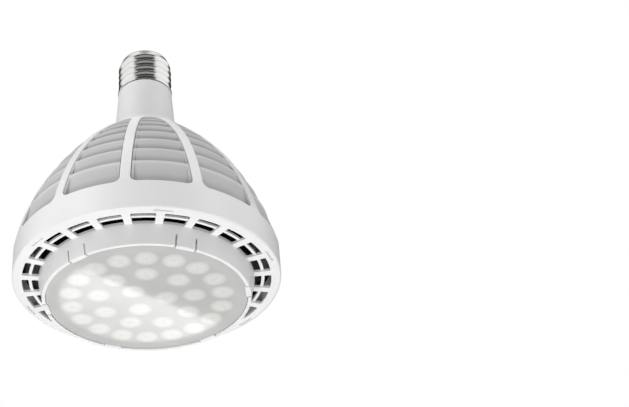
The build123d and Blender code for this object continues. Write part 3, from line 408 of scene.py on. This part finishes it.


# %% [markdown]
# The cage and the front cover are one bright satin white, so that the vent ring stands
# out by its shadows alone. The neck could share it, but its surface is duller, and its
# white is painted a shade greyer as painted shade, for its upright face gets less light,
# so it has a finish of its own. The black cone and the soldered contact close the cap at the top.

# %% Outer plastics and the end of the cap
dress(grained("white_plastic", grey(0.86), grey(0.83), 0.30, 0.38), "cage_shell", "front_cover")
# Painted shade: the neck's white is a little greyer than the cage's, as its upright face gets less
# light; the hidden driver cover shares it.
dress(grained("neck_plastic", grey(0.80), grey(0.77), 0.42, 0.5), "neck_housing", "driver_cover")
dress(grained("cap_black", grey(0.02), grey(0.03), 0.25, 0.4), "cap_insulator")
dress(grained("contact_metal", grey(0.6), grey(0.5), 0.3, 0.45, Metallic=1.0), "centre_contact")

# %% [markdown]
# Behind the lens sit the white board with its yellow light sources, the screws and the
# heat sink. The heat sink is what the vent slots show. Bare aluminium would shine through
# them, but the inside of the lamp lies in deep shade, so the sink is painted near black as
# painted shade.

# %% Light board and heat sink
dress(grained("board_white", grey(0.8), grey(0.76), 0.3, 0.4), "led_board")
dress(grained("phosphor", (0.85, 0.72, 0.25), (0.82, 0.66, 0.2), 0.35, 0.5), "led_chips")
dress(
    grained("screw_steel", grey(0.55), grey(0.45), 0.25, 0.4, Metallic=1.0),
    "board_screws", "cover_screws", "fan_screws",
)
# Painted shade: the sink is near black so that the vent slots show the unlit inside of the lamp as
# dark.
dress(grained("sink_aluminium", grey(0.025), grey(0.018), 0.45, 0.6, Metallic=1.0), "heat_sink")

# %% [markdown]
# The fan hides inside the dome and could stay plain, but the pieces are also looked at
# one by one, so it gets its real materials: black blades and frame, a sintered bronze
# bush, a steel stator and shaft, and a dull moulded magnet.

# %% Fan
dress(grained("fan_black", grey(0.02), grey(0.03), 0.35, 0.5), "fan_frame", "fan_rotor")
dress(
    grained("bearing_bronze", (0.55, 0.36, 0.16), (0.45, 0.28, 0.12), 0.3, 0.45, Metallic=1.0),
    "fan_bearing",
)
dress(
    grained("motor_steel", grey(0.45), grey(0.38), 0.25, 0.4, Metallic=1.0),
    "fan_stator", "fan_shaft",
)
dress(grained("magnet_grey", grey(0.07), grey(0.05), 0.5, 0.65), "fan_magnet")

# %% [markdown]
# The driver could be one green block, but each of its pieces follows what it is made of:
# a green circuit board, a transformer wrapped in yellow tape, capacitors in dark sleeves,
# a choke of enamelled wire, moulded black packages, and red and black insulated leads.

# %% Driver
dress(grained("circuit_green", (0.03, 0.16, 0.06), (0.02, 0.12, 0.05), 0.3, 0.45), "driver_board")
dress(grained("winding_tape", (0.75, 0.55, 0.08), (0.68, 0.48, 0.06), 0.35, 0.5), "transformer")
dress(
    grained("can_sleeve", (0.03, 0.04, 0.09), (0.02, 0.03, 0.06), 0.25, 0.4),
    "output_capacitor", "input_capacitor",
)
dress(
    grained("copper", (0.75, 0.32, 0.16), (0.65, 0.26, 0.12), 0.25, 0.4, Metallic=1.0),
    "line_choke",
)
dress(
    grained("package_black", grey(0.025), grey(0.035), 0.45, 0.6),
    "bridge_rectifier", "switching_transistor",
)
dress(
    grained("lead_red", (0.55, 0.03, 0.02), (0.48, 0.02, 0.02), 0.35, 0.5),
    "live_lead", "led_leads",
)
dress(grained("lead_black", grey(0.02), grey(0.03), 0.35, 0.5), "neutral_lead", "fan_leads")

# %% [markdown]
# The liner's slats lean outwards, so each is light along its top edge and falls into shade
# towards its foot, which sits behind the slat below. A plain grey would lose that rhythm
# under soft light, so that light and shade are painted into the liner's colour, following
# the slats: the dome's outline is one arc, and the arc angle of a point tells which slat it
# is on and how far up that slat. The pitch shrinks by a constant ratio, which a logarithm
# undoes. Below the first edge lies the lowest slat, which reaches down to the sill and so
# is taller than a pitch.

# %% Node group: slat rise
ARC_RADIUS = 121.0
ARC_CENTRE_R, ARC_CENTRE_Z = -57.843, -3.661
FIRST_EDGE, HEAD_EDGE = math.radians(18.98), math.radians(47.3)
FIRST_PITCH, PITCH_RATIO = 9.8 / ARC_RADIUS, 0.95
SILL_SHARE = 1.2
HIDDEN_LOW, HIDDEN_HIGH = 0.12, 0.82
DARK_START, DARK_FULL = 2.4, 3.4


def length_of(group, first, second):
    """The socket of the length of two sides at a right angle."""
    first_square = calculate(group, "MULTIPLY", first, first)
    squares = calculate(group, "MULTIPLY_ADD", second, second, first_square)
    return calculate(group, "SQRT", squares)


def group_place(group, place):
    """Sockets of x, y, z and the distance from the axis, all in mm."""
    split = new_node(group, "SeparateXYZ")
    group.links.new(place, split.inputs["Vector"])
    x, y, z = (calculate(group, "MULTIPLY", split.outputs[axis], 1 / MM) for axis in "XYZ")
    return x, y, z, length_of(group, x, y)


slat_group, slat_in, slat_out = new_group("slat_rise", {}, ["Rise", "Climb", "Inside"])
_, _, height, reach = group_place(slat_group, slat_in["Vector"])
run = calculate(slat_group, "SUBTRACT", reach, ARC_CENTRE_R)
rise = calculate(slat_group, "SUBTRACT", height, ARC_CENTRE_Z)
angle = calculate(slat_group, "ARCTAN2", rise, run)
past_edge = calculate(slat_group, "SUBTRACT", angle, FIRST_EDGE)
pitch_left = calculate(slat_group, "MULTIPLY", past_edge, (PITCH_RATIO - 1) / FIRST_PITCH)
pitch_left = calculate(slat_group, "ADD", pitch_left, 1.0)
slat_number = calculate(slat_group, "LOGARITHM", pitch_left, PITCH_RATIO)
print("group:", slat_group.name)

# %% [markdown]
# The whole part of the slat's number counts the slats, and the rest is the share of the
# way up one of them. The slat below hides the foot of each, and hides more of it the
# higher up the dome, so the hidden share is taken off and what shows is stretched to a
# whole. Deeper in than the slats the liner gets a painted shadow, dark as the unlit inside
# of the lamp where the vent slots show it.

# %% Shares of a slat
on_first = calculate(slat_group, "LESS_THAN", slat_number, 0.0)
on_other = calculate(slat_group, "SUBTRACT", 1.0, on_first)
first_share = calculate(slat_group, "MULTIPLY_ADD", slat_number, 1 / SILL_SHARE, 1.0)
first_share = calculate(slat_group, "MULTIPLY", first_share, on_first)
other_share = calculate(slat_group, "FRACT", slat_number)
other_share = calculate(slat_group, "MULTIPLY", other_share, on_other)
share = calculate(slat_group, "ADD", first_share, other_share)
climb = ranged(slat_group, angle, FIRST_EDGE, HEAD_EDGE)
hidden = calculate(slat_group, "MULTIPLY_ADD", climb, HIDDEN_HIGH - HIDDEN_LOW, HIDDEN_LOW)
hidden = calculate(slat_group, "MULTIPLY", hidden, on_other)
above = calculate(slat_group, "SUBTRACT", share, hidden)
shown = calculate(slat_group, "DIVIDE", above, calculate(slat_group, "SUBTRACT", 1.0, hidden))
arc_reach = length_of(slat_group, rise, run)
# Painted shadow mask: 1 deeper in than the slats, where the unlit inside of the lamp lies in shade.
inside = ranged(slat_group, arc_reach, ARC_RADIUS - DARK_START, ARC_RADIUS - DARK_FULL)
for name, value in {"Rise": shown, "Climb": climb, "Inside": inside}.items():
    slat_group.links.new(value, slat_out[name])
edge_degrees = [round(math.degrees(edge), 2) for edge in (FIRST_EDGE, HEAD_EDGE)]
print("slat edges between", edge_degrees, "degrees up the arc")

# %% [markdown]
# A colour ramp turns the share of the way up a slat into painted shade: dark at the foot,
# where the slat below shades it, with a painted highlight line near the top edge. Three
# multiplied tints then add what the ramp can't: the slats darken a little up the dome,
# the mould's cloudiness lies over all of them, and a painted shadow turns the inner side dark.


# %% Liner finish
def multiplied(tree, colour, tint, factor=1.0):
    """The socket of a colour multiplied by a tint, as strongly as factor says."""
    node = new_node(tree, "Mix", data_type="RGBA", blend_type="MULTIPLY")
    for name, value in {"Factor": factor, "A": colour, "B": tint}.items():
        feed(tree, node.inputs[name], value)
    return node.outputs["Result"]


def shade_ramp(tree, value, shades):
    """The socket of a colour ramp through (position, colour) stops."""
    ramp = new_node(tree, "ValToRGB")
    stops = ramp.color_ramp.elements
    while len(stops) < len(shades):
        stops.new(0.5)
    for stop, (position, colour) in zip(stops, shades):
        stop.position = position
        stop.color = (*colour, 1.0)
    tree.links.new(value, ramp.inputs["Fac"])
    return ramp.outputs["Color"]


# Painted shade and highlight along each slat: dark at the foot, shaded by the slat below, with a
# painted light line near the top edge.
PAINTED_SLAT_SHADING = ((0.0, 0.38), (0.12, 0.44), (0.4, 0.56), (0.8, 0.6), (0.93, 0.7), (1.0, 0.66))
TOP_SHADE = 0.82
# Painted shadow: the liner's inner side, unlit inside the lamp, is coloured near black.
PAINTED_INSIDE_SHADOW = 0.06

liner_plastic = grained("liner_plastic", grey(1.0), grey(0.95), 0.5, 0.6, Specular_IOR_Level=0.2)
tree = liner_plastic.node_tree
base_colour = tree.nodes["Principled BSDF"].inputs["Base Color"]
cloud_tint = base_colour.links[0].from_socket
slats = new_node(tree, "Group", node_tree=slat_group)
tree.links.new(new_node(tree, "TexCoord").outputs["Object"], slats.inputs["Vector"])
painted_slat_greys = [(position, grey(shade)) for position, shade in PAINTED_SLAT_SHADING]
tone = shade_ramp(tree, slats.outputs["Rise"], painted_slat_greys)
tone = multiplied(tree, tone, (*grey(TOP_SHADE), 1.0), slats.outputs["Climb"])
tone = multiplied(tree, tone, cloud_tint)
tone = multiplied(tree, tone, (*grey(PAINTED_INSIDE_SHADOW), 1.0), slats.outputs["Inside"])
tree.links.new(tone, base_colour)
dress(liner_plastic, "louvre_liner")

# %% [markdown]
# The front plate is moulded in one piece with a cone-shaped lens behind it for each light
# source. Its face is frosted under a glossy skin, so the lenses show through as soft pale
# discs. They could be modelled as separate pieces, but the face is really one flat
# surface, so the discs are drawn where the solid lenses are. In each ring the polar angle
# is wrapped to one step of the ring, and the distance to that step's centre is taken.

# %% Node group: lens discs
# each ring: its radius in mm, its number of lenses, the angle of its first in degrees
LENS_RINGS = ((33.9, 18, -90.0), (21.45, 9, -90.0), (9.0, 3, -130.0))
DISC_REACH = 6.3
SKIN_FULL, SKIN_END = 37.0, 40.5

disc_group, disc_in, disc_out = new_group("lens_discs", {}, ["Spot", "Skin"])
across, along, _, reach = group_place(disc_group, disc_in["Vector"])
turn = calculate(disc_group, "ARCTAN2", along, across)
distances = []
for ring_radius, count, start in LENS_RINGS:
    half_step = math.pi / count
    offset = calculate(disc_group, "SUBTRACT", turn, math.radians(start))
    wrapped = calculate(disc_group, "WRAP", offset, half_step, -half_step)
    aside = calculate(disc_group, "MULTIPLY", reach, calculate(disc_group, "SINE", wrapped))
    outward = calculate(disc_group, "MULTIPLY", reach, calculate(disc_group, "COSINE", wrapped))
    outward = calculate(disc_group, "SUBTRACT", outward, ring_radius)
    distances.append(length_of(disc_group, aside, outward))
nearest = distances[0]
for distance in distances[1:]:
    nearest = calculate(disc_group, "MINIMUM", nearest, distance)
disc_group.links.new(ranged(disc_group, nearest, DISC_REACH, 0.0), disc_out["Spot"])
disc_group.links.new(ranged(disc_group, reach, SKIN_END, SKIN_FULL), disc_out["Skin"])
print("lens discs:", sum(count for _, count, _ in LENS_RINGS))

# %% [markdown]
# The discs' tones come from a ramp again, with a soft edge and a faint dip in the middle.
# A cell pattern over them stands for the small facets that blend each source's light. The
# glossy skin is the shader's coat: it carries the sharp reflection over the frosted base
# and ends in a matt border. A clear plastic with the lenses behind it would be truer, but
# it takes many more samples to render clean, and its tones are harder to set.

# %% Lens finish
DISC_SHADES = (
    (0.0, (0.535, 0.535, 0.525)),
    (0.12, (0.55, 0.55, 0.54)),
    (0.30, (0.68, 0.682, 0.655)),
    (0.55, (0.77, 0.773, 0.74)),
    (0.80, (0.78, 0.78, 0.75)),
    (1.0, (0.75, 0.752, 0.725)),
)
FACET_SCALE, FACET_EDGE = 620.0, 0.7
FACET_DARK, FACET_LIGHT = 0.88, 1.02
SKIN_GLOSS, MATT_GLOSS = 1.0, 0.15

lens_frost = grained(
    "lens_frost", grey(1.0), grey(0.93), 0.42, 0.52, Specular_IOR_Level=0.3, Coat_Roughness=0.045
)
tree = lens_frost.node_tree
shader = tree.nodes["Principled BSDF"].inputs
cloud_tint = shader["Base Color"].links[0].from_socket
place = new_node(tree, "TexCoord").outputs["Object"]
discs = new_node(tree, "Group", node_tree=disc_group)
tree.links.new(place, discs.inputs["Vector"])
facets = new_node(tree, "TexVoronoi")
feed(tree, facets.inputs["Vector"], place)
feed(tree, facets.inputs["Scale"], FACET_SCALE)
facet_tone = ranged(tree, facets.outputs["Distance"], 0.0, FACET_EDGE, FACET_LIGHT, FACET_DARK)
tone = shade_ramp(tree, discs.outputs["Spot"], DISC_SHADES)
tone = multiplied(tree, tone, cloud_tint)
tone = multiplied(tree, tone, facet_tone, discs.outputs["Spot"])
tree.links.new(tone, shader["Base Color"])
skin = ranged(tree, discs.outputs["Skin"], 0.0, 1.0, MATT_GLOSS, SKIN_GLOSS)
tree.links.new(skin, shader["Coat Weight"])
dress(lens_frost, "lens_plate")

# %% [markdown]
# The screw shell is rolled from thin sheet. The solid model has plain rings for its
# thread, so here the shell is made again with a true helix. A sweep along a helix would
# leave open ends, so a turned barrel is made first: its profile runs up from the rim at
# the foot, straight up the barrel in short rows, and round the shoulder to the mouth.
# The solid shell's box gives its foot, its mouth and its widest radius.

# %% Profile of the screw shell
shell_low, shell_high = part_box("screw_shell")
SHELL_FOOT, SHELL_MOUTH = shell_low.z / MM, shell_high.z / MM
THREAD_MIDDLE, THREAD_HIGH = 12.64, 135.2
RIM_RADIUS, RIM_HEIGHT = shell_high.x / MM, 1.0
RIM_CORNER_IN, RIM_CORNER_UP = 0.15, 0.2
BARREL_START, BARREL_ROW = SHELL_FOOT + 1.3, 0.25
SHOULDER_RADIUS, SHOULDER_FOOT, MOUTH_RADIUS = 12.13, 135.8, 9.8
SHOULDER_STEPS = 6

profile = [
    (THREAD_MIDDLE, SHELL_FOOT),
    (RIM_RADIUS - RIM_CORNER_IN, SHELL_FOOT),
    (RIM_RADIUS, SHELL_FOOT + RIM_CORNER_UP),
    (RIM_RADIUS, SHELL_FOOT + RIM_HEIGHT - RIM_CORNER_UP),
    (RIM_RADIUS - RIM_CORNER_IN, SHELL_FOOT + RIM_HEIGHT),
]
height = BARREL_START
while height < THREAD_HIGH:
    profile.append((THREAD_MIDDLE, height))
    height += BARREL_ROW
for step in range(SHOULDER_STEPS + 1):
    angle = math.pi / 2 * step / SHOULDER_STEPS
    radius = MOUTH_RADIUS + (SHOULDER_RADIUS - MOUTH_RADIUS) * math.cos(angle)
    profile.append((radius, SHOULDER_FOOT + (SHELL_MOUTH - SHOULDER_FOOT) * math.sin(angle)))
print("profile:", len(profile), "points")

# %% [markdown]
# The profile is spun round the axis, and then each vertex of the barrel moves out or in
# with a wave that climbs one pitch a turn, which is how the rollers form the real sheet.
# The wave fades in and out near the ends, as the real thread runs out.

# %% Screw shell
SHELL_STEPS = 128
THREAD_DEPTH, THREAD_PITCH, THREAD_LOW, THREAD_FADE = 1.02, 3.629, 119.5, 1.3

shell = bmesh.new()
verts = [shell.verts.new((radius * MM, 0, height * MM)) for radius, height in profile]
edges = [shell.edges.new(pair) for pair in zip(verts, verts[1:])]
bmesh.ops.spin(shell, geom=verts + edges, cent=(0, 0, 0), axis=(0, 0, 1),
               angle=math.tau, steps=SHELL_STEPS, use_merge=True)
for vert in shell.verts:
    height = vert.co.z / MM
    if THREAD_LOW < height < THREAD_HIGH:
        fade = min(1.0, (height - THREAD_LOW) / THREAD_FADE, (THREAD_HIGH - height) / THREAD_FADE)
        turns = math.atan2(vert.co.y, vert.co.x) / math.tau
        wave = math.sin(math.tau * ((height - THREAD_LOW) / THREAD_PITCH - turns))
        radius = THREAD_MIDDLE + THREAD_DEPTH / 2 * wave * fade
        vert.co.x *= radius / THREAD_MIDDLE
        vert.co.y *= radius / THREAD_MIDDLE
bmesh.ops.recalc_face_normals(shell, faces=shell.faces)
print("screw shell:", len(shell.faces), "faces, pitch", THREAD_PITCH)

# %% [markdown]
# The turned surface becomes a piece of the lamp: smooth, apart from the sharp corners of
# its rim, plated with nickel, and standing for the solid shell. A Solidify modifier gives
# it the thickness of the sheet, inwards, so that the outside keeps its size.

# %% Screw shell as a piece
SHARP_ANGLE = math.radians(35)
SHEET_THICKNESS = 0.4

for face in shell.faces:
    face.smooth = True
for edge in shell.edges:
    edge.smooth = len(edge.link_faces) != 2 or edge.calc_face_angle() < SHARP_ANGLE
shell_mesh = bpy.data.meshes.new("threaded_shell")
shell.to_mesh(shell_mesh)
shell.free()
nickel = grained("nickel", (0.74, 0.735, 0.72), (0.68, 0.67, 0.655), 0.12, 0.2, Metallic=1.0)
shell_mesh.materials.append(nickel)
threaded_shell = bpy.data.objects.new("threaded_shell", shell_mesh)
scene.collection.objects.link(threaded_shell)
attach(threaded_shell, "lamp")
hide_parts("screw_shell")
sheet_wall = threaded_shell.modifiers.new("sheet", "SOLIDIFY")
sheet_wall.thickness = SHEET_THICKNESS * MM
sheet_wall.offset = -1.0
print("threaded_shell stands for screw_shell, sheet in mm:", SHEET_THICKNESS)
